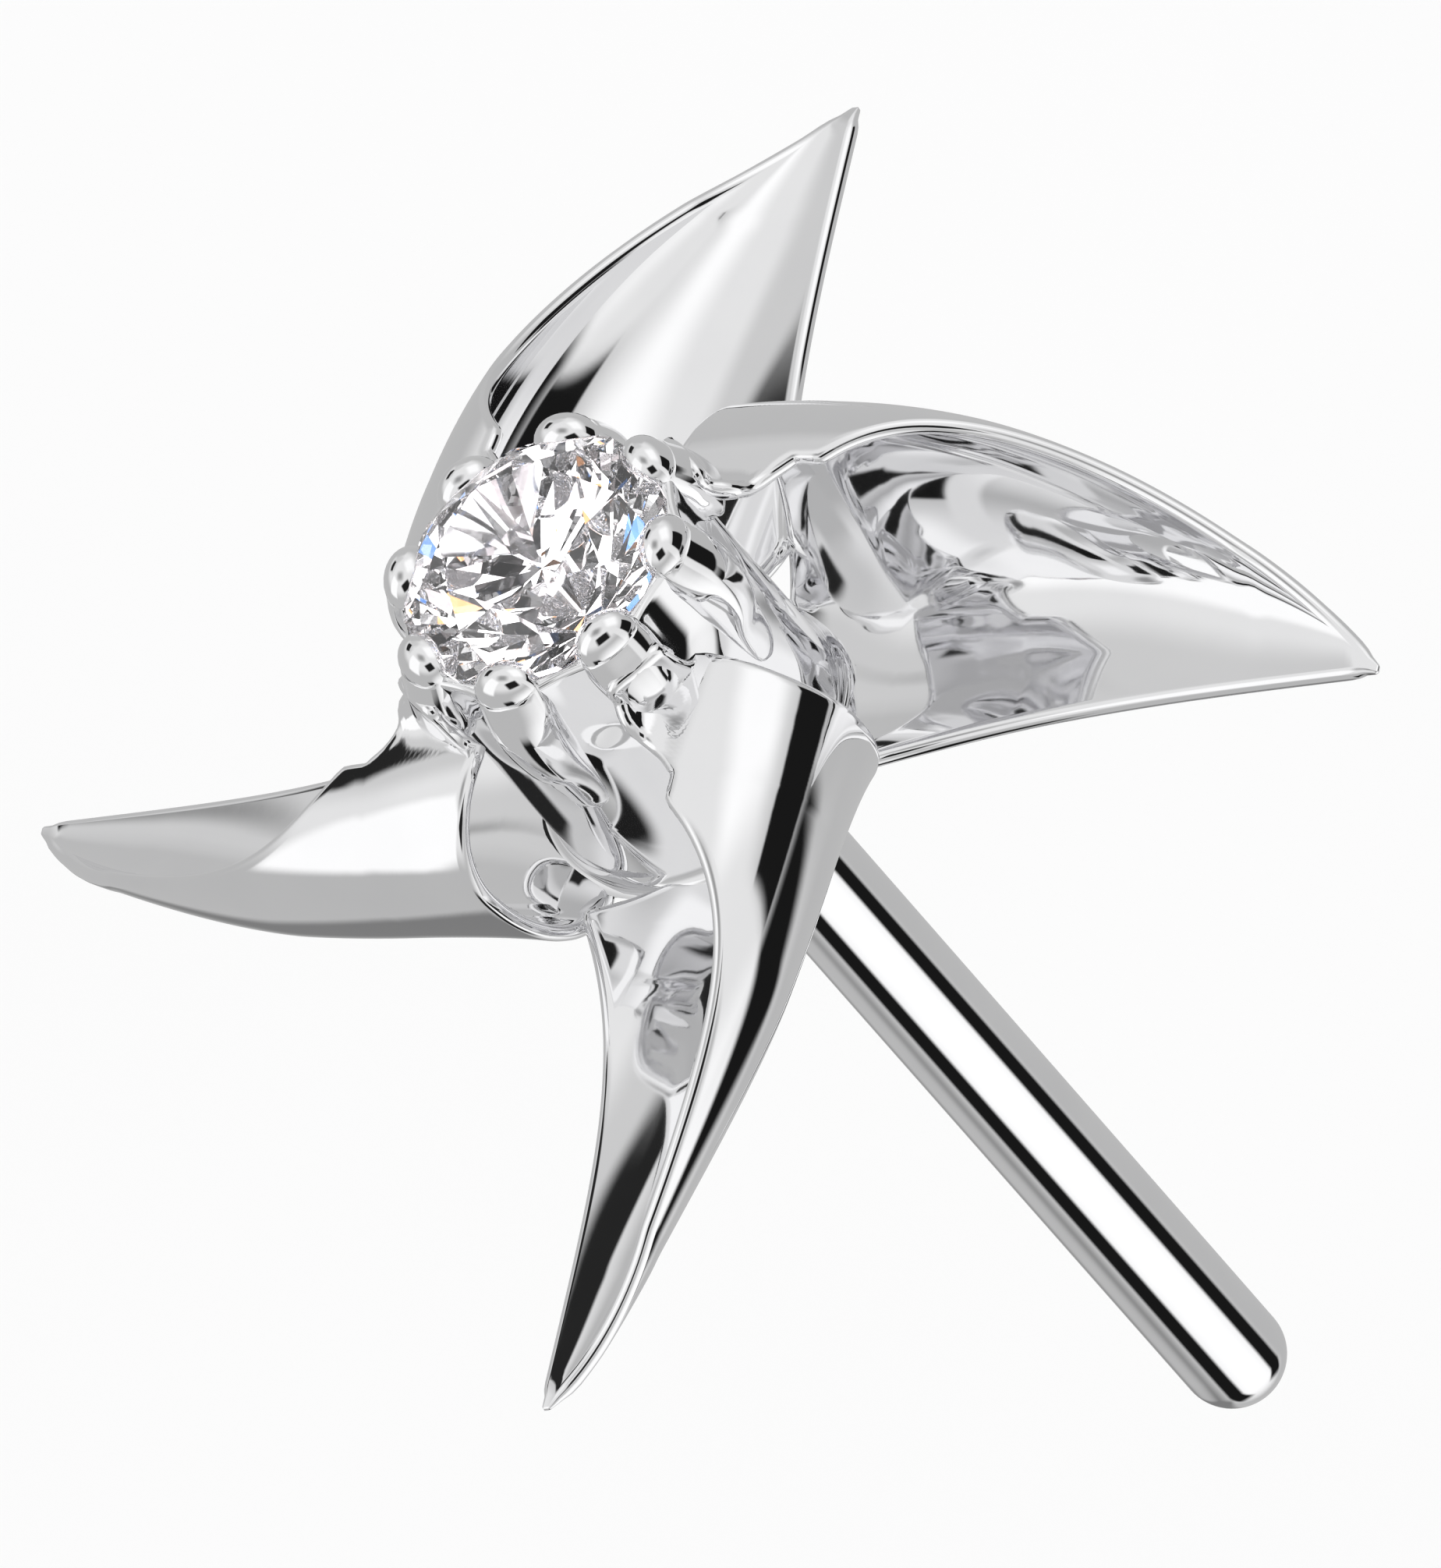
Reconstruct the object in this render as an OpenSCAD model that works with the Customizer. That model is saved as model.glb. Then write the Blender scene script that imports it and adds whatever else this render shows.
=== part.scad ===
// Pinwheel stud for body jewellery: a folded four-vane pinwheel on a push-in pin,
// with a round brilliant stone held by eight claws on a central collet.
// +Z points along the pin towards the stone, and the origin is where the pin meets the back of the hub.

/* [Pinwheel] */
// Distance from the centre to each vane tip
tip_r = 4.18; // [3.8:0.01:4.6]
// How far the roll stands out sideways from the vane's centre line
roll_reach = 1.46; // [1.35:0.01:1.5]
// Height of the roll at the hub
roll_high = 1.4; // [1.34:0.01:1.44]
// Thickness of the folded sheet
sheet_t = 0.09; // [0.06:0.01:0.12]

/* [Setting] */
// Outer radius of the collet
collet_r = 0.875; // [0.86:0.005:0.89]
// Height of the stone's girdle above the back of the hub
girdle_z = 1.92; // [1.9:0.01:2]
// Diameter of the stone
stone_d = 1.58; // [1.5:0.01:1.6]
// Radius of each claw's rounded head
claw_head_r = 0.18; // [0.15:0.01:0.19]

/* [Pin] */
// Diameter of the push-in pin
pin_d = 0.6; // [0.5:0.01:0.8]
// Length of the pin behind the hub
pin_len = 6.33; // [4:0.01:8]

/* [Hidden] */
VANES = 4;
CLAWS = 8;
steel = [0.78, 0.78, 0.79];

// Clearance between pieces that don't join
gap = 0.005;

// Sides of the collet, of other round pieces and of the claws' knobs
COLLET_SIDES = 96;
ROUND_SIDES = 64;
KNOB_SIDES = 20;

// Vane grid: stations from the tip to the mouth of the roll, closest at the tip, and rows round
// each section, whose flat, roll and tongue are first drawn in finer steps
STATIONS = 23;
ROWS = 19;
station_bow = 0.9;
FLAT_STEPS = 9;
FINE = 24;
TONGUE_STEPS = 10;
tip_t = 0.994;
mouth_t = 0.09;

// The hub plate's corners, as [along the vane, towards the roll]
root_t = 0.272;
root_cut = [root_t * tip_r, -0.375];
root_roll = [mouth_t * tip_r, 0.854];

// The cut edge bows towards the tip, and curls up off the back plane beside the hub
cut_tip = -0.04;
cut_bow = 3.9;
cut_lift = 0.21;
lift_bow = 5;
lift_close = 2.5;

// Each outline of the roll closes towards the tip: its reach and its height
reach_bow = 2.5;
reach_close = 0.91;
height_bow = 3;
height_close = 1.43;

// The widest point's height as a share of the roll's, at the hub and at the tip
waist_hub = 0.605;
waist_tip = 0.66;

// The sheet leaves the back plane along one line, drawn outwards beside the mouth
trough_f = 0.337;
trough_bow = 5.5;
mouth_f = 0.8;
mouth_end_t = 0.3;

// The crest stands inside the widest point by this share of the reach
curl = 0.42;
curl_bow = 8;

// The free edge stands open_angle round the roll at open_t, and laps over to the crest by the hub
open_t = 0.8;
open_angle = 30;
open_close = 1.12;
lap_rate = 700;
lap_bow = 3.5;

// Beyond flat_t the roll opens out into a shallow trough, complete by trough_t. Its bend stands this
// share of the way to the free edge, and eases to tip_bend between bend_from and bend_to.
flat_t = 0.46;
trough_t = 0.92;
trough_bend = 0.95;
tip_bend = 0.8;
bend_from = 0.82;
bend_to = 0.95;

// The mouth leans outwards by up to lean_max, most at lean_angle round the roll
lean_max = 0.142;
lean_angle = 28;
lean_spread = 0.9;

// The lap's free edge passes the crest at lap_t and climbs the collet as a tongue
lap_t = 0.2675;
tongue_r = collet_r + sheet_t / 2 + gap;
tongue_turn = 360 / CLAWS;
tongue_half = 13;
tongue_top = 1.72;
tongue_corner = 0.09;

// Seat and stone proportions, as fractions of the stone's diameter
table_part = 0.57;
crown_part = 0.15;
girdle_part = 0.025;
pavilion_part = 0.43;

// The corners between table and girdle, and between girdle and culet: radius as a share of the
// stone's, and height as a share of the crown's or the pavilion's
star_r_part = 0.83;
star_h_part = 0.52;
low_r_part = 0.24;
low_h_part = 0.77;
crown_h = crown_part * stone_d;
girdle_h = girdle_part * stone_d;
pavilion_h = pavilion_part * stone_d;
rim_z = girdle_z - 0.03;
rim_bevel = 0.03;
rim_bevel_h = 0.05;
crown_z = girdle_z + girdle_h / 2;
seat_r = stone_d / 2 + gap;
bore_r = 0.6;
floor_z = 0.6;

// Claws: a foot, a belly below the girdle and a head over the crown
wire_foot_z = 0.98;
claw_foot_r = 0.1;
foot_rho = collet_r - 0.03;
belly_rho = collet_r - 0.01;
belly_z = girdle_z - 0.3;
belly_r = 0.22;
head_rho = collet_r - 0.07;
head_z = girdle_z - 0.05;

function lerp(a, b, k) = a + (b - a) * k;
function clamp(x, low, high) = min(max(x, low), high);

// Where each section of a vane starts: on the cut edge, and then on the root line
function cut_f(t) = lerp(cut_tip, root_cut[1], pow((1 - t) / (1 - root_t), cut_bow));
function start_f(t) =
    t >= root_t ? cut_f(t) : lerp(root_cut[1], root_roll[1], (root_t - t) / (root_t - mouth_t));

// The cut side curls up, by less and less towards the line where the roll begins
function lift(t, f) =
    f >= low_mid(t) ? 0
    : cut_lift * pow((1 - t) / (1 - root_t), lift_bow)
        * pow((low_mid(t) - f) / (low_mid(t) - cut_f(t)), lift_close);

// A section's roll is two quarter ellipses, which meet upright at its widest point
function roll_max(t) = roll_reach * pow(1 - pow(t, reach_bow), reach_close);
function roll_top(t) = roll_high * pow(1 - pow(t, height_bow), height_close);
function waist(t) = lerp(waist_hub, waist_tip, t) * roll_top(t);
function low_mid(t) =
    let (s = clamp((mouth_end_t - t) / (mouth_end_t - mouth_t), 0, 1))
    lerp(trough_f * (1 - 2 * pow(t, trough_bow)), mouth_f, s * s);
function high_mid(t) = roll_max(t) * (1 - curl * (1 - pow(t, curl_bow)));
function roll_end(t) =
    t > open_t ? open_angle * pow((1 - t) / (1 - open_t), open_close)
    : min(90, open_angle + lap_rate * pow(open_t - t, lap_bow));
function roll_start(t) = -acos(clamp((start_f(t) - low_mid(t)) / (roll_max(t) - low_mid(t)), 0, 1));

// The mouth of the roll isn't flat: it leans outwards beside the fold
function lean(t, ang) =
    let (w = clamp((root_t - t) / (root_t - mouth_t), 0, 1))
    lean_max * w * pow(cos((ang - lean_angle) * lean_spread), 2);

function roll_point(t, ang) =
    let (mid = ang < 0 ? low_mid(t) : high_mid(t),
         high = ang < 0 ? waist(t) : roll_top(t) - waist(t))
    [t * tip_r + lean(t, ang), mid + (roll_max(t) - mid) * cos(ang), waist(t) + high * sin(ang)];

// Near the tip a section is a shallow trough between the same two edges
function bend_part(t) =
    lerp(trough_bend, tip_bend, clamp((t - bend_from) / (bend_to - bend_from), 0, 1));
function trough_point(t, k) =
    let (a = [t * tip_r, start_f(t), 0],
         b = roll_point(t, roll_end(t)),
         bend = [a[0], lerp(a[1], b[1], bend_part(t)), 0])
    lerp(lerp(a, bend, k), lerp(bend, b, k), k);

// A place on the tongue where it stands against the collet
function on_tongue(turn, z) = [tongue_r * cos(turn), tongue_r * sin(turn), z];

// The free edge past the crest, as [along, across, up] at each fraction of the way to the mouth
edge_path = [
    roll_point(lap_t, 90),
    [1.0, 0.73, roll_high],
    [0.89, 0.61, roll_high + 0.05],
    [0.81, 0.52, roll_high + 0.15],
    on_tongue(tongue_turn - tongue_half, tongue_top - tongue_corner),
    on_tongue(tongue_turn - tongue_half + 1, tongue_top),
    on_tongue(tongue_turn, tongue_top),
    on_tongue(tongue_turn + tongue_half - 1, tongue_top)];

function path_at(path, k) =
    let (last = len(path) - 1, i = min(floor(k * last), last - 1))
    lerp(path[i], path[i + 1], k * last - i);
function tongue_point(t, k) =
    let (crest = roll_point(t, 90),
         end = path_at(edge_path, (lap_t - t) / (lap_t - mouth_t)),
         bend = [end[0], end[1], min(crest[2], end[2])])
    lerp(lerp(crest, bend, k), lerp(bend, end, k), k);

// One section, finely sampled: the flat, the roll, and past the crest the tongue
function folded_section(t) =
    let (a0 = roll_start(t), a1 = roll_end(t), foot = roll_point(t, a0))
    concat(
        start_f(t) < foot[1] - 0.01
            ? [for (i = [0:FLAT_STEPS - 1])
                let (f = lerp(start_f(t), foot[1], i / FLAT_STEPS)) [foot[0], f, lift(t, f)]]
            : [],
        [for (i = [0:FINE]) roll_point(t, lerp(a0, a1, i / FINE))],
        t < lap_t - 0.001 ? [for (i = [1:TONGUE_STEPS]) tongue_point(t, i / TONGUE_STEPS)] : []);

function trough_section(t) = [for (i = [0:FINE]) trough_point(t, i / FINE)];

// Points spread evenly along a polyline
function run_lengths(p, i = 1, sum = 0, out = [0]) =
    i == len(p) ? out
    : let (s = sum + norm(p[i] - p[i - 1])) run_lengths(p, i + 1, s, concat(out, [s]));
function point_at(p, runs, s, i = 1) =
    i == len(p) - 1 || runs[i] >= s
        ? lerp(p[i - 1], p[i], clamp((s - runs[i - 1]) / max(runs[i] - runs[i - 1], 1e-9), 0, 1))
        : point_at(p, runs, s, i + 1);
function spread(p, n) =
    let (runs = run_lengths(p), total = runs[len(runs) - 1])
    [for (j = [0:n - 1]) point_at(p, runs, total * j / (n - 1))];

function section(t) =
    let (w = clamp((t - flat_t) / (trough_t - flat_t), 0, 1))
    w == 0 ? spread(folded_section(t), ROWS)
    : lerp(spread(folded_section(t), ROWS), spread(trough_section(t), ROWS), w * w * (3 - 2 * w));
function station_t(i) = lerp(tip_t, mouth_t, pow(i / (STATIONS - 1), station_bow));
sections = [for (i = [0:STATIONS - 1]) section(station_t(i))];

// Both faces of the sheet stand half its thickness off the middle surface
function unit(v) = v / max(norm(v), 1e-9);
function sheet_normal(i, j) =
    let (i0 = max(i - 1, 0), i1 = min(i + 1, STATIONS - 1), j0 = max(j - 1, 0), j1 = min(j + 1, ROWS - 1))
    unit(cross(sections[i1][j] - sections[i0][j], sections[i][j1] - sections[i][j0]));
function face_points(side) =
    [for (i = [0:STATIONS - 1], j = [0:ROWS - 1])
        sections[i][j] + [0, 0, sheet_t / 2] + sheet_normal(i, j) * side * sheet_t / 2];

function quad(a, b, c, d) = [[a, b, c], [a, c, d]];
function flat_list(lists) = [for (l = lists, x = l) x];

module vane_sheet() {
    n = STATIONS * ROWS;
    upper = flat_list([for (i = [0:STATIONS - 2], j = [0:ROWS - 2])
        let (k = i * ROWS + j) quad(k, k + 1, k + ROWS + 1, k + ROWS)]);
    lower = [for (f = upper) [f[2] + n, f[1] + n, f[0] + n]];
    edge = concat(
        [for (i = [0:STATIONS - 1]) i * ROWS],
        [for (j = [1:ROWS - 1]) (STATIONS - 1) * ROWS + j],
        [for (i = [STATIONS - 2:-1:0]) i * ROWS + ROWS - 1],
        [for (j = [ROWS - 2:-1:1]) j]);
    rim = flat_list([for (k = [0:len(edge) - 1])
        let (a = edge[k], b = edge[(k + 1) % len(edge)]) quad(a, b, b + n, a + n)]);
    polyhedron(concat(face_points(1), face_points(-1)), concat(upper, lower, rim));
}

// A round brilliant: table, crown, thin girdle and pavilion, as the hull of its corner rings
function ring(r, z, n, turn) =
    [for (i = [0:n - 1]) let (a = turn + 360 * i / n) [r * cos(a), r * sin(a), z]];
module stone() {
    r = stone_d / 2;
    bottom = girdle_z - girdle_h / 2;
    points = concat(
        ring(r * table_part, crown_z + crown_h, 8, 0),
        ring(r * star_r_part, crown_z + crown_h * star_h_part, 8, 22.5),
        ring(r, crown_z, 16, 0),
        ring(r, bottom, 16, 0),
        ring(r * low_r_part, bottom - pavilion_h * low_h_part, 8, 22.5),
        [[0, 0, bottom - pavilion_h]]);
    color([0.93, 0.95, 1, 0.5])
        hull() polyhedron(points, [for (i = [0:len(points) - 3]) [0, i + 1, i + 2]]);
}

// The tube setting, with a conical bearing under the stone
module collet() {
    seat_z = girdle_z - girdle_h / 2 - gap;
    slope = pavilion_part * 2;
    color(steel)
        rotate_extrude($fn = COLLET_SIDES)
            polygon([
                [0, sheet_t],
                [collet_r, sheet_t],
                [collet_r, rim_z - rim_bevel_h],
                [collet_r - rim_bevel, rim_z],
                [seat_r + (rim_z - seat_z) / slope, rim_z],
                [bore_r, seat_z - (seat_r - bore_r) * slope],
                [bore_r, floor_z],
                [0, floor_z]]);
}

// A claw stands against the collet or its tongue, bulges below the girdle and bends over the crown
module claw_knob(rho, z, r) {
    translate([rho, 0, z]) sphere(r = r, $fn = KNOB_SIDES);
}
module claw(i, foot_z, back_r) {
    color(steel)
        rotate(360 / CLAWS * (i - 1))
            difference() {
                union() {
                    hull() {
                        claw_knob(foot_rho, foot_z, claw_foot_r);
                        claw_knob(belly_rho, belly_z, belly_r);
                    }
                    hull() {
                        claw_knob(belly_rho, belly_z, belly_r);
                        claw_knob(head_rho, head_z, claw_head_r);
                    }
                }
                cylinder(h = rim_z, r = collet_r, $fn = ROUND_SIDES);
                cylinder(h = tongue_top + gap, r = back_r, $fn = ROUND_SIDES);
                translate([0, 0, rim_z - 2 * gap])
                    cylinder(h = crown_z - rim_z + 2 * gap, r = seat_r, $fn = ROUND_SIDES);
                translate([0, 0, crown_z])
                    cylinder(h = crown_h, r1 = seat_r, r2 = stone_d * table_part / 2, $fn = ROUND_SIDES);
            }
}
module wire_claw(i) {
    claw(i, wire_foot_z, collet_r);
}
module tongue_claw(i) {
    claw(i, belly_z, tongue_r + sheet_t / 2 + gap);
}
module claw_1() { wire_claw(1); }
module claw_2() { tongue_claw(2); }
module claw_3() { wire_claw(3); }
module claw_4() { tongue_claw(4); }
module claw_5() { wire_claw(5); }
module claw_6() { tongue_claw(6); }
module claw_7() { wire_claw(7); }
module claw_8() { tongue_claw(8); }

module vane(i) {
    color(steel) rotate(360 / VANES * (i - 1)) vane_sheet();
}
module vane_1() { vane(1); }
module vane_2() { vane(2); }
module vane_3() { vane(3); }
module vane_4() { vane(4); }

// The uncut middle of the sheet, which joins the four vanes where their root lines lie flat
module hub_plate() {
    flat_end = lerp(root_cut, root_roll, root_cut[1] / (root_cut[1] - root_roll[1]));
    corners = [for (i = [0:VANES - 1], p = [flat_end, root_roll])
        [p[0] * cos(90 * i) - p[1] * sin(90 * i), p[0] * sin(90 * i) + p[1] * cos(90 * i)]];
    color(steel) linear_extrude(sheet_t) polygon(corners);
}

// The straight push-in pin, with a rounded end
module pin() {
    r = pin_d / 2;
    color(steel)
        union() {
            translate([0, 0, r - pin_len]) cylinder(h = pin_len - r, r = r, $fn = ROUND_SIDES);
            translate([0, 0, r - pin_len]) sphere(r = r, $fn = ROUND_SIDES);
        }
}

stone();
collet();
claw_1();
claw_2();
claw_3();
claw_4();
claw_5();
claw_6();
claw_7();
claw_8();
vane_1();
vane_2();
vane_3();
vane_4();
hub_plate();
pin();
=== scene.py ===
import math

import bpy
import numpy as np
from mathutils import Matrix, Vector


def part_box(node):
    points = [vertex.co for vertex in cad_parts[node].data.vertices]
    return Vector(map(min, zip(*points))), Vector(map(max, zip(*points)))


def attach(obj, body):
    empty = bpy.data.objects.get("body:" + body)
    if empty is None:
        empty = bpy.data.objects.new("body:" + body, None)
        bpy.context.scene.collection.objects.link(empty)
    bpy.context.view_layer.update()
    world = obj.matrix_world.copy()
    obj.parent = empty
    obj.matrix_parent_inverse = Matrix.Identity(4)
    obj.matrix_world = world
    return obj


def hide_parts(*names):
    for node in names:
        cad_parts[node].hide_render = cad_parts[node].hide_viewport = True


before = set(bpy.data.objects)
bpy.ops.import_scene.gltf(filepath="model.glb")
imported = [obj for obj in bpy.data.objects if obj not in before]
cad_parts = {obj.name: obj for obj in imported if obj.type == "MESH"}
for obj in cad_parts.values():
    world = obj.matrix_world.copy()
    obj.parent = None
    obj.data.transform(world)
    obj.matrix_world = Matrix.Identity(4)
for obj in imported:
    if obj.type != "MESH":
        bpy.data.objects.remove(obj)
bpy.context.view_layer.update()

# ---- sizes, in metres, from the frame ----
MM = 0.001
VANES = 4
CLAWS = 8
TIP_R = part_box("vane_1")[1].x
SHEET_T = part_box("hub_plate")[1].z
COLLET_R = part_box("collet")[1].x
RIM_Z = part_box("collet")[1].z
STONE_LOW, STONE_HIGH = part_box("stone")
STONE_R = STONE_HIGH.x
PIN_LOW, PIN_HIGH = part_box("pin")
PIN_R = PIN_HIGH.x

# Places along a vane, as fractions of the way from the hub's axis to a tip: the tip's end, the mouth
# of the roll, the cut edge's root, where the lap's free edge passes the crest, and where the mouth ends
TIP_T, MOUTH_T, ROOT_T, LAP_T, MOUTH_END_T = 0.992, 0.092, 0.272, 0.2675, 0.3

# The roll's reach from the vane's centre line and its height, and how each closes towards the tip
ROLL_REACH = 1.45 * MM
ROLL_HIGH = 1.39 * MM
REACH_BOW, REACH_CLOSE = 2.5, 0.91
HEIGHT_BOW, HEIGHT_CLOSE = 3, 1.43

# The height of the roll's widest point as a share of the roll's: at the hub, and what the tip adds
WAIST_HUB, WAIST_GAIN = 0.605, 0.055

# The middles of the roll's lower and upper quarters: the first moves out beside the mouth
TROUGH_F, TROUGH_BOW, MOUTH_F = 0.337 * MM, 5.5, 0.8 * MM
CURL, CURL_BOW = 0.42, 8

# Beyond FLAT_T the roll opens out into a shallow trough, complete by TROUGH_T. Its bend stands this
# share of the way to the free edge, and eases to TIP_BEND between BEND_FROM and BEND_TO
FLAT_T, TROUGH_T = 0.46, 0.92
TROUGH_BEND, TIP_BEND, BEND_FROM, BEND_TO = 0.95, 0.8, 0.82, 0.95

# The cut edge and the root line, across the vane, and how the cut side curls up beside the hub
CUT_TIP_F, ROOT_CUT_F, ROOT_ROLL_F = -0.04 * MM, -0.375 * MM, 0.854 * MM
CUT_BOW = 3.9
CUT_LIFT, LIFT_BOW, LIFT_CLOSE = 0.21 * MM, 5, 2.5

# The free edge stands OPEN_ANGLE round the roll at OPEN_T, and laps over to the crest by the hub
OPEN_T, OPEN_ANGLE, OPEN_CLOSE = 0.8, 30, 1.12
LAP_RATE, LAP_BOW = 700, 3.5

# The mouth leans outwards by up to LEAN_MAX, most at LEAN_ANGLE round the roll
LEAN_MAX, LEAN_ANGLE, LEAN_SPREAD = 0.142 * MM, 28, 0.9

# The tongue that climbs the collet: its middle's radius, its top, where it stands and its half width
TONGUE_R = 0.95 * MM
TONGUE_TOP = 1.74 * MM
TONGUE_TURN = 360 / CLAWS
TONGUE_HALF = 9.5

# Near the tip the sheet thins, at a rate of its whole thickness per THIN_RUN, to TIP_THIN of it
TIP_THIN, THIN_RUN = 0.3, 0.04

# A vane's stations stand a little closer together by the mouth than by the tip
STATION_BOW = 0.9

# The collet: fillet at its foot, rounded lip, seat slope, bore, and the flutes between the claws
FOOT_R, LIP_R = 0.09 * MM, 0.03 * MM
SEAT_GAP, SEAT_SLOPE = 0.005 * MM, 0.86
BORE_R, FLOOR_Z = 0.6 * MM, 0.6 * MM
FLUTE_DEPTH, FLUTE_FROM, FLUTE_RISE = 0.055 * MM, 1.18 * MM, 0.3 * MM

# The stone, as shares of its radius (table, star corners, lower corners) and of its diameter
TABLE_PART, STAR_PART, LOW_PART = 0.57, 0.763, 0.24
CROWN_PART, GIRDLE_PART = 0.15, 0.025

# Camera: direction from the object, roll and framing
CAMERA_AZ, CAMERA_EL, CAMERA_ROLL = 44.5, 44.2, 41.3
FRAME_H = 8.34 * MM
AIM_RIGHT, AIM_UP = 0.071 * MM, -0.149 * MM
LENS, SENSOR = 800.0, 36


# ---- mesh helpers ----
def new_piece(name, points, faces, smooth=True):
    """A mesh object in the scene."""
    mesh = bpy.data.meshes.new(name)
    mesh.from_pydata([tuple(p) for p in points], [], [tuple(f) for f in faces])
    mesh.validate()
    mesh.polygons.foreach_set("use_smooth", [smooth] * len(mesh.polygons))
    piece = bpy.data.objects.new(name, mesh)
    bpy.context.scene.collection.objects.link(piece)
    return piece


def turned(points, degrees):
    """Points turned about the pin's axis."""
    a = math.radians(degrees)
    turn = np.array([[math.cos(a), -math.sin(a), 0], [math.sin(a), math.cos(a), 0], [0, 0, 1]])
    return np.asarray(points) @ turn.T


def finish_piece(piece, material, slot, *nodes):
    """Gives a piece its material, in place of its CAD nodes, on the one body. The slot is not used."""
    piece.data.materials.append(material)
    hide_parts(*nodes)
    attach(piece, "root")


def clamp(x, low=0, high=1):
    return min(max(x, low), high)


def spline(keys, k):
    """A smooth curve through the key points, for k from 0 to 1."""
    keys = np.asarray(keys, float)
    last = len(keys) - 1
    i = min(int(k * last), last - 1)
    x = k * last - i
    a, b = keys[i], keys[i + 1]
    before = keys[i - 1] if i > 0 else 2 * a - b
    after = keys[i + 2] if i + 2 <= last else 2 * b - a
    return 0.5 * (2 * a + (b - before) * x + (2 * before - 5 * a + 4 * b - after) * x ** 2
                  + (3 * a - before - 3 * b + after) * x ** 3)


# ---- the folded vanes ----
def cut_f(t):
    """Where the cut edge stands across the vane."""
    return CUT_TIP_F + (ROOT_CUT_F - CUT_TIP_F) * ((1 - t) / (1 - ROOT_T)) ** CUT_BOW


def start_f(t):
    """Where a section starts: on the cut edge, and nearer the hub on the root line."""
    if t >= ROOT_T:
        return cut_f(t)
    return ROOT_CUT_F + (ROOT_ROLL_F - ROOT_CUT_F) * (ROOT_T - t) / (ROOT_T - MOUTH_T)


def roll_sizes(t):
    """A roll's reach and height, its widest point's height, and the middles of its two quarters."""
    reach = ROLL_REACH * (1 - t ** REACH_BOW) ** REACH_CLOSE
    top = ROLL_HIGH * (1 - t ** HEIGHT_BOW) ** HEIGHT_CLOSE
    waist = (WAIST_HUB + WAIST_GAIN * t) * top
    near_mouth = clamp((MOUTH_END_T - t) / (MOUTH_END_T - MOUTH_T)) ** 2
    trough = TROUGH_F * (1 - 2 * t ** TROUGH_BOW)
    low = trough + (MOUTH_F - trough) * near_mouth
    high = reach * (1 - CURL * (1 - t ** CURL_BOW))
    return reach, top, waist, low, high


def roll_end(t):
    """How far round the roll its free edge stands, in degrees."""
    if t > OPEN_T:
        return OPEN_ANGLE * ((1 - t) / (1 - OPEN_T)) ** OPEN_CLOSE
    return min(90, OPEN_ANGLE + LAP_RATE * (OPEN_T - t) ** LAP_BOW)


def roll_points(t, angles):
    """Points on the roll: two quarter ellipses, which meet upright at its widest point."""
    reach, top, waist, low, high = roll_sizes(t)
    w = clamp((ROOT_T - t) / (ROOT_T - MOUTH_T))
    angles = np.asarray(angles, float)
    a = np.radians(angles)
    middle = np.where(angles < 0, low, high)
    rise = np.where(angles < 0, waist, top - waist)
    lean = LEAN_MAX * w * np.cos(np.radians((angles - LEAN_ANGLE) * LEAN_SPREAD)) ** 2
    across = middle + (reach - middle) * np.cos(a)
    return np.stack([t * TIP_R + lean, across, waist + rise * np.sin(a)], 1)


def tongue_keys():
    """The free edge's way from the crest up the collet and across the top of the tongue."""
    def on_wall(angle, z):
        a = math.radians(angle)
        return [TONGUE_R * math.cos(a), TONGUE_R * math.sin(a), z]

    crest = roll_points(LAP_T, [90.0])[0]
    return [
        crest,
        [1.0 * MM, 0.73 * MM, crest[2] + 0.03 * MM],
        [0.91 * MM, 0.63 * MM, crest[2] + 0.09 * MM],
        [0.865 * MM, 0.575 * MM, crest[2] + 0.2 * MM],
        on_wall(TONGUE_TURN - TONGUE_HALF, TONGUE_TOP - 0.1 * MM),
        on_wall(TONGUE_TURN + 1 - TONGUE_HALF, TONGUE_TOP),
        on_wall(TONGUE_TURN, TONGUE_TOP + 0.01 * MM),
        on_wall(TONGUE_TURN + TONGUE_HALF, TONGUE_TOP),
    ]


def folded_section(t):
    """One section of a vane, finely sampled: the flat, the roll, and past the crest the tongue."""
    reach, _, _, low, _ = roll_sizes(t)
    start = start_f(t)
    a0 = -math.degrees(math.acos(clamp((start - low) / (reach - low))))
    parts = [roll_points(t, np.linspace(a0, roll_end(t), 240))]
    foot = parts[0][0]
    if start < foot[1] - 0.002 * MM:
        f = np.linspace(start, foot[1], 100, endpoint=False)
        curl = ((low - f) / (low - cut_f(t))) ** LIFT_CLOSE
        rise = CUT_LIFT * ((1 - t) / (1 - ROOT_T)) ** LIFT_BOW * curl
        parts.insert(0, np.stack([np.full_like(f, foot[0]), f, rise], 1))
    if t < LAP_T - 1e-4:
        crest = parts[-1][-1]
        end = spline(tongue_keys(), (LAP_T - t) / (LAP_T - MOUTH_T))
        bend = np.array([end[0], end[1], min(crest[2], end[2])])
        k = np.linspace(0, 1, 80)[1:, None]
        parts.append((1 - k) * ((1 - k) * crest + k * bend) + k * ((1 - k) * bend + k * end))
    return np.concatenate(parts)


def trough_section(t):
    """Near the tip a section is a shallow trough between the same two edges."""
    a = np.array([t * TIP_R, start_f(t), 0])
    b = roll_points(t, [roll_end(t)])[0]
    part = TROUGH_BEND + (TIP_BEND - TROUGH_BEND) * clamp((t - BEND_FROM) / (BEND_TO - BEND_FROM))
    bend = np.array([a[0], a[1] + part * (b[1] - a[1]), 0])
    k = np.linspace(0, 1, 200)[:, None]
    return (1 - k) * ((1 - k) * a + k * bend) + k * ((1 - k) * bend + k * b)


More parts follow.
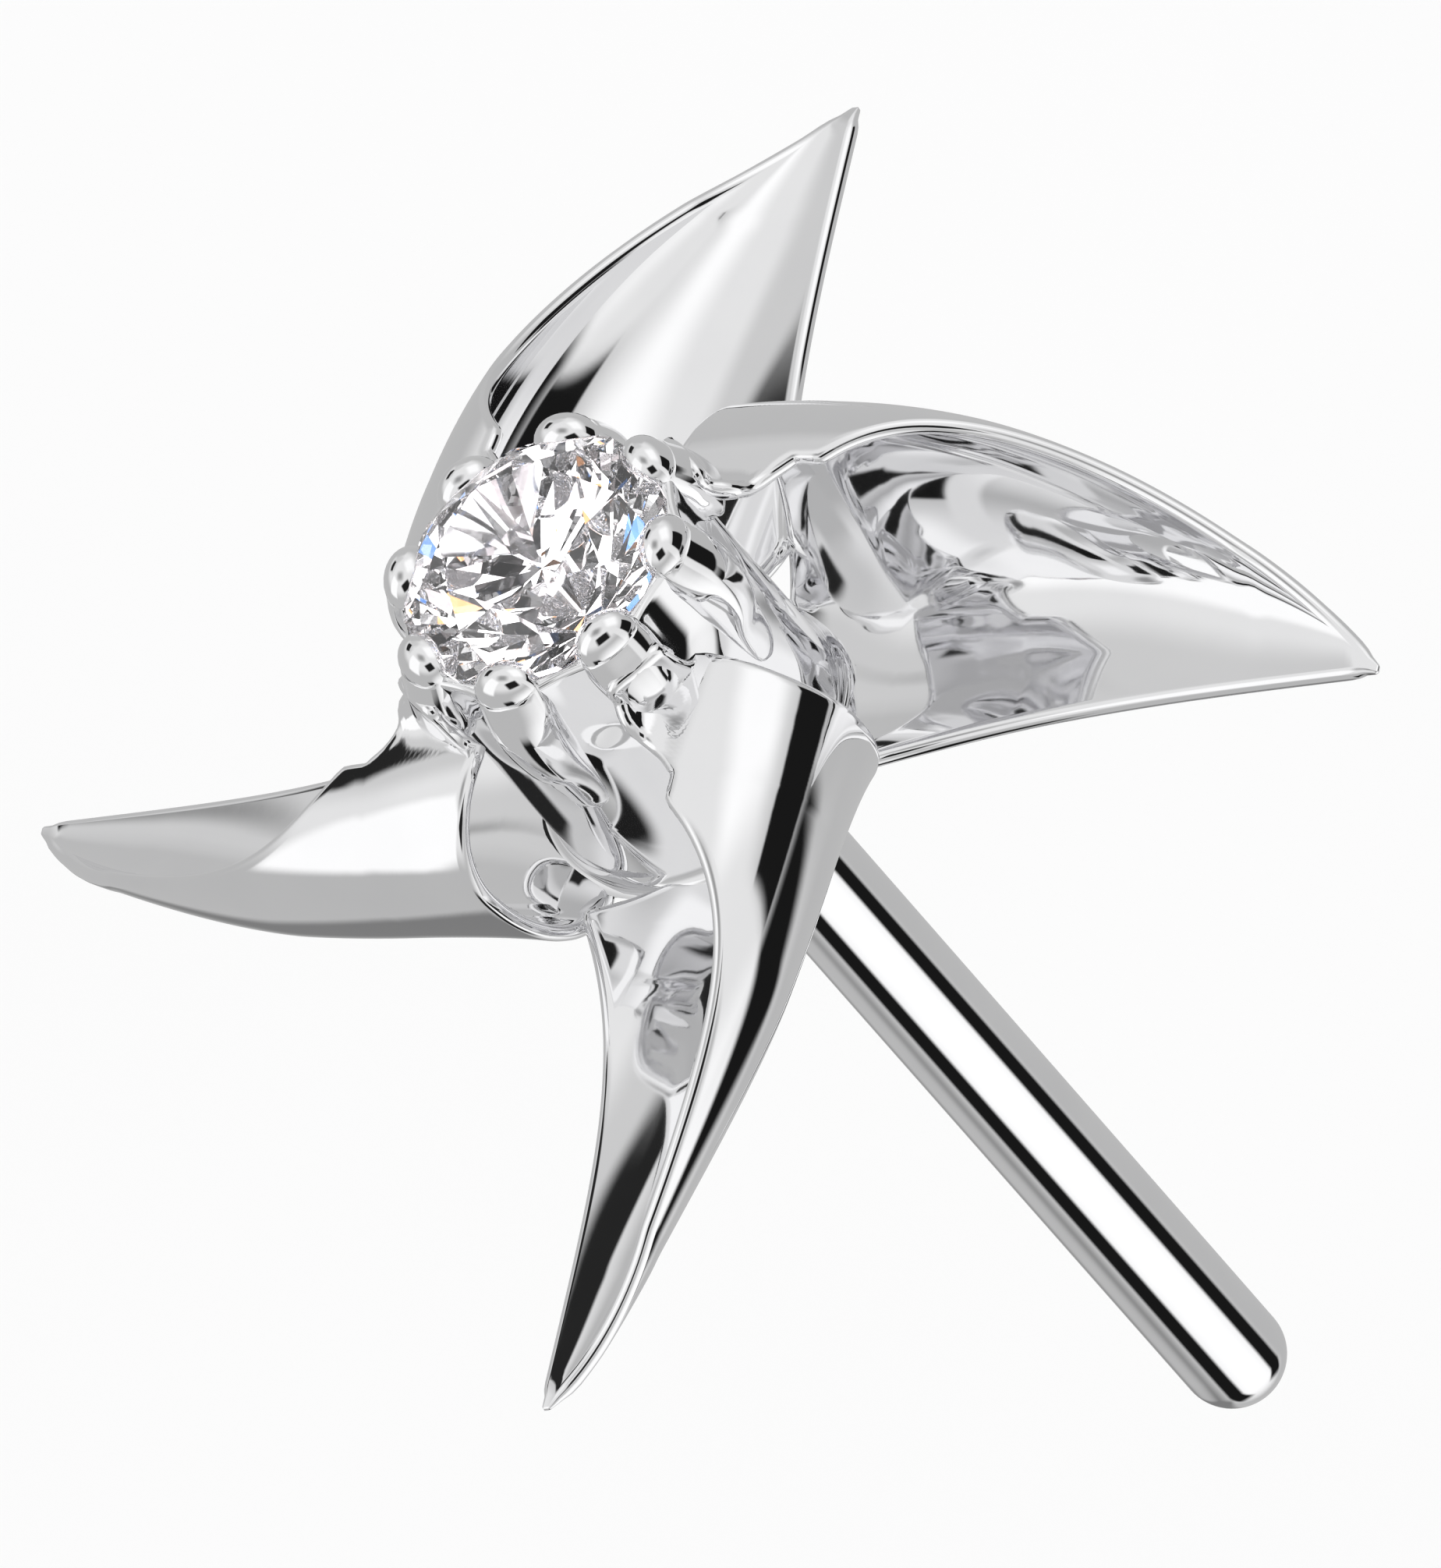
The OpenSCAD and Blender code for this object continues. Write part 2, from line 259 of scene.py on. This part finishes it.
def spread(points, n, trim):
    """n points evenly along a polyline, from trim inside one end to trim inside the other."""
    run = np.concatenate([[0], np.cumsum(np.linalg.norm(np.diff(points, axis=0), axis=1))])
    trim = min(trim, 0.3 * run[-1])
    at = np.linspace(trim, run[-1] - trim, n)
    return np.stack([np.interp(at, run, points[:, k]) for k in range(3)], 1)


def section(t, rows):
    """The middle of the sheet at one place along a vane, as evenly spaced points."""
    folded = spread(folded_section(t), rows, SHEET_T / 2)
    w = clamp((t - FLAT_T) / (TROUGH_T - FLAT_T))
    if w == 0:
        return folded
    w = w * w * (3 - 2 * w)
    return (1 - w) * folded + w * spread(trough_section(t), rows, SHEET_T / 2)


def unit(v):
    return v / np.maximum(np.linalg.norm(v, axis=-1, keepdims=True), 1e-12)


def sheet_solid(middle, thickness, arc=6):
    """A sheet with rounded rims, from a grid on its middle surface and a thickness for each row."""
    n, m, _ = middle.shape
    du, dv = np.gradient(middle, axis=0), np.gradient(middle, axis=1)
    normal = unit(np.cross(du, dv))
    half = np.broadcast_to(thickness / 2, n)[:, None, None]
    ring = ([(i, 0) for i in range(n)] + [(n - 1, j) for j in range(1, m)]
            + [(i, m - 1) for i in range(n - 2, -1, -1)] + [(0, j) for j in range(m - 2, 0, -1)])
    edge = np.array([middle[i, j] for i, j in ring])
    along = unit(np.roll(edge, -1, 0) - np.roll(edge, 1, 0))
    across = unit(np.cross(along, np.array([normal[i, j] for i, j in ring])))
    inward = np.array([middle[min(max(i, 1), n - 2), min(max(j, 1), m - 2)] for i, j in ring]) - edge
    across *= np.where((across * inward).sum(1, keepdims=True) > 0, -1, 1)
    up = np.array([normal[i, j] for i, j in ring])
    rim = np.array([half[i, 0, 0] for i, j in ring])[:, None]
    points = [(middle + normal * half).reshape(-1, 3), (middle - normal * half).reshape(-1, 3)]
    for k in range(1, arc):
        a = math.pi * k / arc
        points.append(edge + rim * (math.cos(a) * up + math.sin(a) * across))
    count, size = n * m, len(ring)
    faces = []
    for i in range(n - 1):
        for j in range(m - 1):
            corner = i * m + j
            quad = [corner, corner + m, corner + m + 1, corner + 1]
            faces.append(quad)
            faces.append([count + x for x in reversed(quad)])
    loops = [[i * m + j for i, j in ring]]
    loops += [[2 * count + k * size + x for x in range(size)] for k in range(arc - 1)]
    loops.append([count + i * m + j for i, j in ring])
    for one, two in zip(loops, loops[1:]):
        for k in range(size):
            o = (k + 1) % size
            faces.append([one[k], two[k], two[o], one[o]])
    return np.concatenate(points), faces


def vane_solid(stations=110, rows=72):
    """A folded vane along +X, from its tip to the mouth of its roll."""
    ts = TIP_T + (MOUTH_T - TIP_T) * np.linspace(0, 1, stations) ** STATION_BOW
    middle = np.array([section(t, rows) for t in ts])
    middle[:, :, 2] += SHEET_T / 2
    return sheet_solid(middle, SHEET_T * np.clip(TIP_THIN + (TIP_T - ts) / THIN_RUN, TIP_THIN, 1))


# ---- round pieces ----
def lathe(profile, segments=128):
    """A profile of (radius, height) turned about the axis. Its ends, at radius 0, close it."""
    points, rows = [], []
    turns = [2 * math.pi * s / segments for s in range(segments)]
    for r, z in profile:
        if r < 1e-9:
            rows.append([len(points)])
            points.append((0, 0, z))
            continue
        rows.append(list(range(len(points), len(points) + segments)))
        points += [(r * math.cos(a), r * math.sin(a), z) for a in turns]
    faces = []
    for one, two in zip(rows, rows[1:]):
        for s in range(segments):
            o = (s + 1) % segments
            if len(one) == 1:
                faces.append([one[0], two[o], two[s]])
            elif len(two) == 1:
                faces.append([one[s], one[o], two[0]])
            else:
                faces.append([one[s], one[o], two[o], two[s]])
    return np.array(points, float), faces


def arc_profile(cr, cz, radius, a0, a1, steps):
    """Profile points round part of a circle, from a0 to a1 in degrees."""
    return [(cr + radius * math.cos(math.radians(a)), cz + radius * math.sin(math.radians(a)))
            for a in np.linspace(a0, a1, steps)]


def pin_solid():
    """The straight pin with its rounded end."""
    end = arc_profile(0, PIN_LOW.z + PIN_R, PIN_R, -90, 0, 24)
    wall = [(PIN_R, z) for z in np.linspace(PIN_LOW.z + PIN_R, 0, 40)[1:]]
    return lathe([(0, PIN_LOW.z)] + end[1:] + wall + [(0, 0)], 96)


def collet_solid():
    """The tube setting: a filleted foot, a wall fluted between the claws, and a cone under the stone."""
    wall_z = np.linspace(SHEET_T + FOOT_R, RIM_Z - LIP_R, 60)
    seat_r = STONE_R + SEAT_GAP
    seat_z = STONE_LOW.z + STONE_R * SEAT_SLOPE
    profile = [(0, SHEET_T), (COLLET_R + FOOT_R, SHEET_T)]
    profile += arc_profile(COLLET_R + FOOT_R, SHEET_T + FOOT_R, FOOT_R, 268, 180, 10)
    profile += [(COLLET_R, z) for z in wall_z[1:]]
    profile += arc_profile(COLLET_R - LIP_R, RIM_Z - LIP_R, LIP_R, 0, 90, 8)[1:]
    profile += [(seat_r, RIM_Z), (seat_r, seat_z), (BORE_R, seat_z - (seat_r - BORE_R) * SEAT_SLOPE),
                (BORE_R, FLOOR_Z), (0, FLOOR_Z)]
    points, faces = lathe(profile, 256)
    radius = np.hypot(points[:, 0], points[:, 1])
    turn = np.arctan2(points[:, 1], points[:, 0])
    up = np.clip((points[:, 2] - FLUTE_FROM) / FLUTE_RISE, 0, 1)
    depth = FLUTE_DEPTH * up * up * (3 - 2 * up) * (0.5 - 0.5 * np.cos(CLAWS * turn))
    depth *= radius > seat_r + 1e-6
    points[:, :2] *= (1 - depth / np.maximum(radius, 1e-9))[:, None]
    return points, faces


# ---- claws ----
def claw_solid(keys, rings=44, segments=28):
    """A claw through key sections: radius from the axis, height, half width and half depth."""
    keys = np.asarray(keys, float) * MM
    path = np.array([spline(keys, k) for k in np.linspace(0, 1, rings)])
    points, faces = [], []
    direction = unit(np.gradient(path[:, :2], axis=0))
    for (rho, z, wide, deep), (dr, dz) in zip(path, direction):
        for s in range(segments):
            a = 2 * math.pi * s / segments
            out, side = deep * math.cos(a), wide * math.sin(a)
            points.append((rho + out * dz, side, z - out * dr))
    for i in range(rings - 1):
        one, two = i * segments, (i + 1) * segments
        for s in range(segments):
            o = (s + 1) % segments
            faces.append([one + s, one + o, two + o, two + s])
    faces.append(list(reversed(range(segments))))
    faces.append(list(range((rings - 1) * segments, rings * segments)))
    return np.array(points), faces


def head_keys(rho, z, wide, deep, high):
    """Key sections of a rounded head, from its widest section up to its top."""
    keys = []
    for a in np.radians(np.linspace(2, 88, 8)):
        keys.append([rho, z + high * math.sin(a), wide * math.cos(a), deep * math.cos(a)])
    return keys


# The upper part that every claw shares, and then the two kinds: on the collet and on a tongue, in mm
LOBE = [
    [0.868, 1.60, 0.196, 0.165],
    [0.852, 1.69, 0.202, 0.156],
    [0.822, 1.77, 0.204, 0.150],
] + head_keys(0.785, 1.862, 0.196, 0.145, 0.188)

WIRE_CLAW = [
    [0.850, 0.84, 0.03, 0.02],
    [0.858, 0.92, 0.110, 0.045],
    [0.865, 1.06, 0.140, 0.060],
    [0.870, 1.18, 0.155, 0.085],
    [0.872, 1.32, 0.168, 0.140],
    [0.872, 1.47, 0.184, 0.165],
] + LOBE

TONGUE_CLAW = [
    [0.880, 1.32, 0.05, 0.01],
    [0.900, 1.40, 0.150, 0.060],
    [0.893, 1.50, 0.185, 0.150],
] + LOBE


# ---- the stone ----
def stone_solid():
    """A round brilliant: planar kites, stars and halves over a thin girdle, and a pointed pavilion."""
    r = STONE_R
    table_r, star_r, low_r = TABLE_PART * r, STAR_PART * r, LOW_PART * r
    crown_h, girdle_h = CROWN_PART * 2 * r, GIRDLE_PART * 2 * r
    top = STONE_HIGH.z - crown_h
    bottom = top - girdle_h
    depth = bottom - STONE_LOW.z
    cos_half = math.cos(math.radians(22.5))
    star_z = top + crown_h * (1 - star_r / r * cos_half) / (1 - table_r / r)
    low_z = bottom - depth * (1 - low_r / r * cos_half)

    def ring(radius, z, count, turn):
        angles = [math.radians(turn + 360 * i / count) for i in range(count)]
        return [(radius * math.cos(a), radius * math.sin(a), z) for a in angles]

    points = (ring(table_r, STONE_HIGH.z, 8, 0) + ring(star_r, star_z, 8, 22.5) + ring(r, top, 16, 0)
              + ring(r, bottom, 16, 0) + ring(low_r, low_z, 8, 22.5) + [(0, 0, STONE_LOW.z)])
    table, star, upper, lower, low, culet = 0, 8, 16, 32, 48, 56
    faces = [[table + i for i in range(8)]]
    for i in range(8):
        n, p = (i + 1) % 8, (i - 1) % 8
        g, g1, g2 = 2 * i, (2 * i + 1) % 16, (2 * i + 2) % 16
        faces.append([table + i, star + i, table + n])
        faces.append([table + i, star + p, upper + g, star + i])
        faces.append([star + i, upper + g, upper + g1])
        faces.append([star + i, upper + g1, upper + g2])
        faces.append([lower + g, low + i, lower + g1])
        faces.append([lower + g1, low + i, lower + g2])
        faces.append([lower + g, low + p, culet, low + i])
    for g in range(16):
        h = (g + 1) % 16
        faces.append([upper + g, lower + g, lower + h, upper + h])
    return np.array(points), faces


# ---- materials ----
def node(tree, kind, **settings):
    """A new shader node with these settings."""
    made = tree.nodes.new(kind)
    for key, value in settings.items():
        setattr(made, key, value)
    return made


def polished_metal(name, grain, low=0.025, high=0.06, bump=0.02):
    """Mirror-polished steel: faint buffing lines, a slight haze and fine wear in its roughness."""
    mat = bpy.data.materials.new(name)
    mat.use_nodes = True
    tree = mat.node_tree
    shader = tree.nodes["Principled BSDF"]
    shader.inputs["Metallic"].default_value = 1.0
    place = node(tree, "ShaderNodeTexCoord")
    stretch = node(tree, "ShaderNodeMapping")
    stretch.inputs["Scale"].default_value = grain
    tree.links.new(place.outputs["Object"], stretch.inputs["Vector"])
    haze = node(tree, "ShaderNodeTexNoise")
    haze.inputs["Scale"].default_value = 1800
    haze.inputs["Detail"].default_value = 4
    tree.links.new(place.outputs["Object"], haze.inputs["Vector"])
    lines = node(tree, "ShaderNodeTexNoise")
    lines.inputs["Scale"].default_value = 6000
    lines.inputs["Detail"].default_value = 3
    tree.links.new(stretch.outputs["Vector"], lines.inputs["Vector"])
    rough = node(tree, "ShaderNodeMapRange")
    rough.inputs["From Min"].default_value = 0.3
    rough.inputs["From Max"].default_value = 0.75
    rough.inputs["To Min"].default_value = low
    rough.inputs["To Max"].default_value = high
    tree.links.new(haze.outputs["Fac"], rough.inputs["Value"])
    tree.links.new(rough.outputs["Result"], shader.inputs["Roughness"])
    tone = node(tree, "ShaderNodeValToRGB")
    tone.color_ramp.elements[0].color = (0.86, 0.86, 0.87, 1)
    tone.color_ramp.elements[1].color = (0.93, 0.93, 0.935, 1)
    tree.links.new(haze.outputs["Fac"], tone.inputs["Fac"])
    tree.links.new(tone.outputs["Color"], shader.inputs["Base Color"])
    relief = node(tree, "ShaderNodeBump")
    relief.inputs["Strength"].default_value = bump
    relief.inputs["Distance"].default_value = 0.004 * MM
    tree.links.new(lines.outputs["Fac"], relief.inputs["Height"])
    tree.links.new(relief.outputs["Normal"], shader.inputs["Normal"])
    return mat


def zirconia():
    """Clear cubic zirconia: one glass shader, since the facets do the rest."""
    mat = bpy.data.materials.new("zirconia")
    mat.use_nodes = True
    tree = mat.node_tree
    tree.nodes.remove(tree.nodes["Principled BSDF"])
    glass = node(tree, "ShaderNodeBsdfGlass")
    glass.inputs["Roughness"].default_value = 0
    glass.inputs["IOR"].default_value = 2.1
    tree.links.new(glass.outputs[0], tree.nodes["Material Output"].inputs["Surface"])
    return mat


# ---- studio ----
def direction(turn, el):
    """A direction from the object: turn in degrees, rightwards from within a degree of the camera."""
    a, e = math.radians(turn - CAMERA_AZ), math.radians(el)
    return np.array([math.cos(a) * math.cos(e), math.sin(a) * math.cos(e), math.sin(e)])


def panel_mask(tree, ray, turn, el, half_w, half_h, soft):
    """1 inside a soft-edged panel seen in that direction, and 0 outside."""
    centre = direction(turn, el)
    right = unit(np.cross([0, 0, 1], centre))
    up = np.cross(centre, right)

    def along(axis):
        made = node(tree, "ShaderNodeVectorMath", operation="DOT_PRODUCT")
        tree.links.new(ray, made.inputs[0])
        made.inputs[1].default_value = tuple(axis)
        return made.outputs["Value"]

    def maths(kind, one, two):
        made = node(tree, "ShaderNodeMath", operation=kind)
        for socket, value in zip(made.inputs, (one, two)):
            if isinstance(value, (int, float)):
                socket.default_value = value
            elif value is not None:
                tree.links.new(value, socket)
        return made.outputs[0]

    ahead = maths("MAXIMUM", along(centre), 0.02)
    mask = maths("GREATER_THAN", ahead, 0.021)
    for axis, half in ((right, half_w), (up, half_h)):
        limit = math.tan(math.radians(half))
        off = maths("ABSOLUTE", maths("DIVIDE", along(axis), ahead), None)
        edge = node(tree, "ShaderNodeMapRange", interpolation_type="SMOOTHSTEP")
        edge.inputs["From Min"].default_value = limit * (1 + soft)
        edge.inputs["From Max"].default_value = limit * (1 - soft)
        tree.links.new(off, edge.inputs["Value"])
        mask = maths("MULTIPLY", mask, edge.outputs["Result"])
    return mask


# Softboxes and black cards round the object: turn and elevation, half width and half height in
# degrees, softness and brightness
PANELS = [
    (85, 48, 20, 16, 0.5, 1.1),
    (-45, 78, 14, 12, 0.8, 0.35),
    (180, 42, 26, 13, 0.5, 0.66),
    (158, 2, 16, 30, 0.3, 0.54),
    (38, 8, 10, 32, 0.3, 0.85),
    (0, -42, 38, 38, 0.8, 1.15),
    (56, -42, 11, 26, 0.3, 0.01),
    (-56, -42, 11, 26, 0.3, 0.01),
    (68, 2, 19, 16, 0.1, 0.01),
    (-125, -56, 26, 8, 0.4, 0.22),
    (-97, 34, 18, 27, 0.2, 1.1),
    (-166, 36, 12, 8, 0.25, 0.02),
    (-10, 40, 20, 13, 0.25, 0.015),
]

# The room's grey below LOW_EL, and its white above TOP_EL, in degrees of elevation
LOW_GREY, TOP_WHITE = 0.52, 0.86
LOW_EL, TOP_EL = 8, 36

# What the stone sees through its facets: small cells of black, white and a few colours
LAMP_CELLS = 5.5
LAMPS = [
    (0, (0.003, 0.003, 0.004)),
    (0.46, (3.0, 2.95, 3.0)),
    (0.68, (1.9, 1.7, 1.75)),
    (0.76, (0.3, 0.7, 1.8)),
    (0.795, (2.2, 1.0, 0.45)),
    (0.83, (0.003, 0.003, 0.004)),
    (0.89, (2.8, 2.8, 2.8)),
]
PLAIN_WHITE = (1.1, 1.1, 1.1, 1)


def room_level(tree, ray):
    """How bright the room is in a direction: grey, a white ceiling, and the panels over them."""
    split = node(tree, "ShaderNodeSeparateXYZ")
    tree.links.new(ray, split.inputs[0])
    ceiling = node(tree, "ShaderNodeMapRange", interpolation_type="SMOOTHSTEP")
    ceiling.inputs["From Min"].default_value = math.sin(math.radians(LOW_EL))
    ceiling.inputs["From Max"].default_value = math.sin(math.radians(TOP_EL))
    ceiling.inputs["To Min"].default_value = LOW_GREY
    ceiling.inputs["To Max"].default_value = TOP_WHITE
    tree.links.new(split.outputs["Z"], ceiling.inputs["Value"])
    level = ceiling.outputs["Result"]
    for turn, el, half_w, half_h, soft, value in PANELS:
        mask = panel_mask(tree, ray, turn, el, half_w, half_h, soft)
        mix = node(tree, "ShaderNodeMix", data_type="FLOAT")
        tree.links.new(mask, mix.inputs["Factor"])
        tree.links.new(level, mix.inputs["A"])
        mix.inputs["B"].default_value = value
        level = mix.outputs["Result"]
    return level


def lamp_colour(tree, ray):
    """The colour of the small lamp in a direction."""
    cells = node(tree, "ShaderNodeTexVoronoi")
    cells.inputs["Scale"].default_value = LAMP_CELLS
    tree.links.new(ray, cells.inputs["Vector"])
    lamps = node(tree, "ShaderNodeValToRGB")
    lamps.color_ramp.interpolation = "CONSTANT"
    while len(lamps.color_ramp.elements) < len(LAMPS):
        lamps.color_ramp.elements.new(1.0)
    for element, (at, colour) in zip(lamps.color_ramp.elements, LAMPS):
        element.position = at
        element.color = (*colour, 1)
    tree.links.new(cells.outputs["Color"], lamps.inputs["Fac"])
    return lamps.outputs["Color"]


def studio_world():
    """The room and its panels, the lamps that rays through the stone see, and a plain white backdrop."""
    world = bpy.data.worlds.new("studio")
    bpy.context.scene.world = world
    world.use_nodes = True
    tree = world.node_tree
    tree.nodes.clear()
    ray = node(tree, "ShaderNodeTexCoord").outputs["Generated"]
    path = node(tree, "ShaderNodeLightPath")
    stone_sees = node(tree, "ShaderNodeMix", data_type="RGBA")
    tree.links.new(path.outputs["Is Transmission Ray"], stone_sees.inputs[0])
    tree.links.new(room_level(tree, ray), stone_sees.inputs[6])
    tree.links.new(lamp_colour(tree, ray), stone_sees.inputs[7])
    plain = node(tree, "ShaderNodeMath", operation="MAXIMUM")
    tree.links.new(path.outputs["Is Camera Ray"], plain.inputs[0])
    tree.links.new(path.outputs["Is Diffuse Ray"], plain.inputs[1])
    pick = node(tree, "ShaderNodeMix", data_type="RGBA")
    tree.links.new(plain.outputs[0], pick.inputs[0])
    tree.links.new(stone_sees.outputs[2], pick.inputs[6])
    pick.inputs[7].default_value = PLAIN_WHITE
    glow = node(tree, "ShaderNodeBackground")
    tree.links.new(pick.outputs[2], glow.inputs["Color"])
    out = node(tree, "ShaderNodeOutputWorld")
    tree.links.new(glow.outputs[0], out.inputs["Surface"])


def pale_floor():
    """A plain pale floor, well below the pin, seen by the camera but not in the metal."""
    half, z = 400 * MM, PIN_LOW.z - 14 * MM
    corners = [(-half, -half, z), (half, -half, z), (half, half, z), (-half, half, z)]
    floor = new_piece("floor", corners, [(0, 1, 2, 3)], smooth=False)
    mat = bpy.data.materials.new("floor_paint")
    mat.use_nodes = True
    tree = mat.node_tree
    shader = tree.nodes["Principled BSDF"]
    mottle = node(tree, "ShaderNodeTexNoise")
    mottle.inputs["Scale"].default_value = 90
    tone = node(tree, "ShaderNodeValToRGB")
    tone.color_ramp.elements[0].color = (0.93, 0.93, 0.93, 1)
    tone.color_ramp.elements[1].color = (0.95, 0.95, 0.95, 1)
    tree.links.new(mottle.outputs["Fac"], tone.inputs["Fac"])
    tree.links.new(tone.outputs["Color"], shader.inputs["Base Color"])
    shader.inputs["Roughness"].default_value = 0.9
    shader.inputs["Specular IOR Level"].default_value = 0.0
    floor.data.materials.append(mat)
    floor.visible_glossy = False
    floor.visible_transmission = False


def camera():
    """A long lens from the photograph's angle, near enough to parallel."""
    az, el, roll = (math.radians(x) for x in (CAMERA_AZ, CAMERA_EL, CAMERA_ROLL))
    back = Vector((math.sin(az) * math.cos(el), -math.cos(az) * math.cos(el), math.sin(el)))
    level = Vector((math.cos(az), math.sin(az), 0))
    upright = back.cross(level)
    right = level * math.cos(roll) - upright * math.sin(roll)
    up = level * math.sin(roll) + upright * math.cos(roll)
    data = bpy.data.cameras.new("camera")
    data.lens = LENS
    data.sensor_width = SENSOR
    data.clip_start = 0.01
    data.clip_end = 10
    cam = bpy.data.objects.new("camera", data)
    bpy.context.scene.collection.objects.link(cam)
    aim = right * AIM_RIGHT + up * AIM_UP
    place = Matrix((right, up, back)).transposed().to_4x4()
    place.translation = aim + back * (FRAME_H * LENS / SENSOR)
    cam.matrix_world = place
    bpy.context.scene.camera = cam


# ---- the object ----
def build():
    """Every visible piece, in place of its CAD node. The CAD's own hub plate stays in view."""
    sheet = polished_metal("polished_sheet", (1, 1, 0.15))
    setting = polished_metal("polished_setting", (1, 1, 0.3))
    shank = polished_metal("polished_pin", (1, 1, 0.05), 0.02, 0.045)
    points, faces = vane_solid()
    for i in range(VANES):
        piece = new_piece(f"folded_vane_{i + 1}", turned(points, 360 / VANES * i), faces)
        finish_piece(piece, sheet, "sheet", f"vane_{i + 1}")
    for i in range(CLAWS):
        points, faces = claw_solid(TONGUE_CLAW if i % 2 else WIRE_CLAW)
        piece = new_piece(f"bead_claw_{i + 1}", turned(points, 360 / CLAWS * i), faces)
        finish_piece(piece, setting, "collet", f"claw_{i + 1}")
    finish_piece(new_piece("tube_collet", *collet_solid()), setting, "collet", "collet")
    finish_piece(new_piece("round_pin", *pin_solid()), shank, "pin", "pin")
    finish_piece(new_piece("brilliant", *stone_solid(), smooth=False), zirconia(), "stone", "stone")
    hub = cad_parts["hub_plate"]
    hub.data.materials.clear()
    hub.data.materials.append(sheet)


camera()
build()
pale_floor()
studio_world()
bpy.context.scene.view_settings.view_transform = "Standard"
bpy.context.scene.cycles.glossy_bounces = 16
bpy.context.scene.cycles.transmission_bounces = 16
bpy.context.scene.cycles.max_bounces = 24
